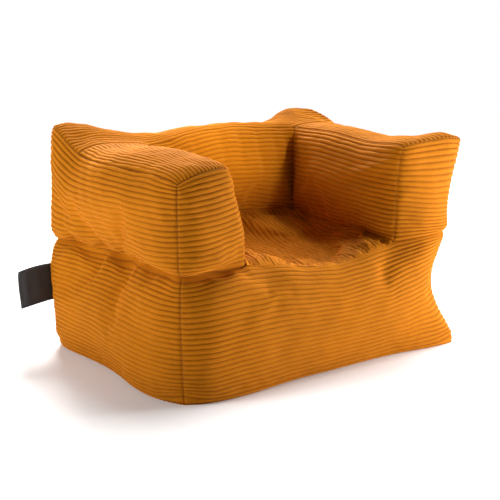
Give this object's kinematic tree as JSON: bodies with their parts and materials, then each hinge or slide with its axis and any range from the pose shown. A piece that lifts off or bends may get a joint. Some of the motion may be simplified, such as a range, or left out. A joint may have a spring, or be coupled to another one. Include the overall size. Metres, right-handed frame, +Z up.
{
  "type": "bean bag chair",
  "caption": "Boxy bean bag armchair in wide-wale corduroy: panelled cover with arms, back and sunken seat, bead-filled inner bags, zipped back hem and a blank loop label.",
  "frame": {"origin": "middle of the bottom panel, on the floor", "axes": "+X along the chair's width, to the right of someone facing its front; -Y out of its front; +Z up"},
  "size_m": [1.0495, 0.6985, 0.642],
  "materials": {
    "corduroy": "wide-wale polyester corduroy, saturated orange-ochre, soft nap sheen",
    "liner": "off-white woven inner cloth",
    "beads": null,
    "zip_tape": "woven tape dyed to match",
    "zip_coil": "moulded teeth dyed to match",
    "zip_metal": "dark plated metal",
    "label": "blank charcoal satin-woven tape"
  },
  "bodies": {
    "cover": {"base_front_panel": "corduroy", "base_side_panel_left": "corduroy", "base_side_panel_right": "corduroy", "base_bottom_panel": "corduroy", "seat_panel": "corduroy", "base_back_panel": "corduroy", "base_back_hem": "corduroy", "arm_front_panel_left": "corduroy", "arm_front_panel_right": "corduroy", "arm_outer_panel_left": "corduroy", "arm_outer_panel_right": "corduroy", "arm_inner_panel_left": "corduroy", "arm_inner_panel_right": "corduroy", "arm_top_panel_left": "corduroy", "arm_top_panel_right": "corduroy", "back_inner_panel": "corduroy", "back_outer_panel": "corduroy", "back_top_panel": "corduroy", "arm_divider_left": "liner", "arm_divider_right": "liner", "back_divider": "liner", "base_liner": "liner", "base_liner_closure": "liner", "base_beads": "beads", "arm_left_liner": "liner", "arm_left_liner_closure": "liner", "arm_left_beads": "beads", "arm_right_liner": "liner", "arm_right_liner_closure": "liner", "arm_right_beads": "beads", "back_liner": "liner", "back_liner_closure": "liner", "back_beads": "beads", "zip_tape_upper": "zip_tape", "zip_tape_lower": "zip_tape", "zip_coil_upper": "zip_coil", "zip_coil_lower": "zip_coil", "zip_stop_left": "zip_metal", "zip_stop_right": "zip_metal", "side_label": "label"},
    "zip_slider": {"zip_slider": "zip_metal"},
    "zip_pull": {"zip_pull": "zip_metal"}
  },
  "joints": [
    {"name": "zip_slide", "type": "slide", "parent": "cover", "child": "zip_slider", "axis": [1, 0, 0], "range_m": [0, 0.544]},
    {"name": "pull_swing", "type": "hinge", "parent": "zip_slider", "child": "zip_pull", "pos_m": [-0.272, 0.3359, 0.07], "axis": [0, 0, 1], "range_deg": [0, 165]}
  ]
}
